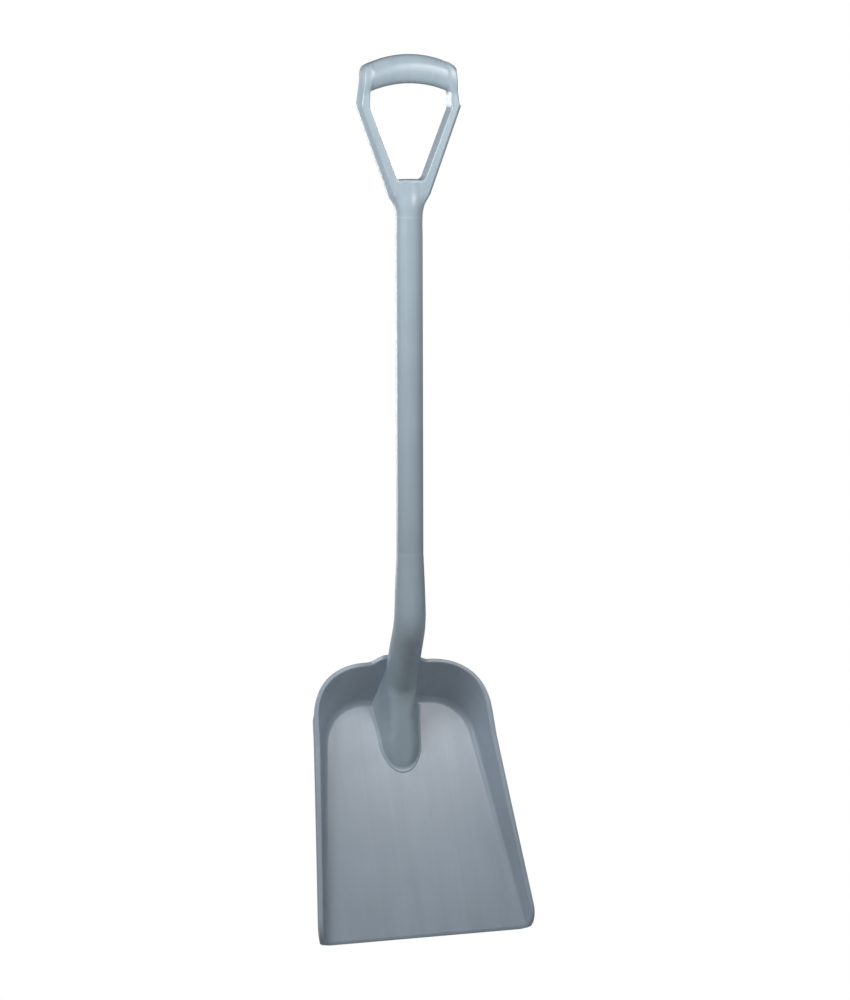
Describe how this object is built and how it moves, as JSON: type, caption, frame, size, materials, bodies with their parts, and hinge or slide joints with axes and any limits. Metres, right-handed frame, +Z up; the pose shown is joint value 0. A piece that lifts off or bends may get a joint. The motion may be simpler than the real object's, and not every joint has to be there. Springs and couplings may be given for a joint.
{
  "type": "grain scoop shovel",
  "caption": "Long-handled moulded plastic scoop shovel with a flared flat-floored pan, a socket tongue, a cranked shank, a round shaft and a D-grip with an arched bar.",
  "frame": {"origin": "where a hook bears, under the middle of the grip bar", "axes": "+Z up along the shaft with the grip at the top, the open side of the pan faces -Y, X runs across the pan"},
  "size_m": [0.264, 0.1561, 1.0352],
  "materials": {
    "polypropylene": "satin blue-grey moulded polypropylene"
  },
  "bodies": {
    "root": {"scoop_pan": "polypropylene", "socket_tongue": "polypropylene", "cranked_shank": "polypropylene", "shaft_joint_plug": "polypropylene", "shaft_tube": "polypropylene", "grip_yoke": "polypropylene", "grip_bar": "polypropylene"}
  },
  "joints": []
}
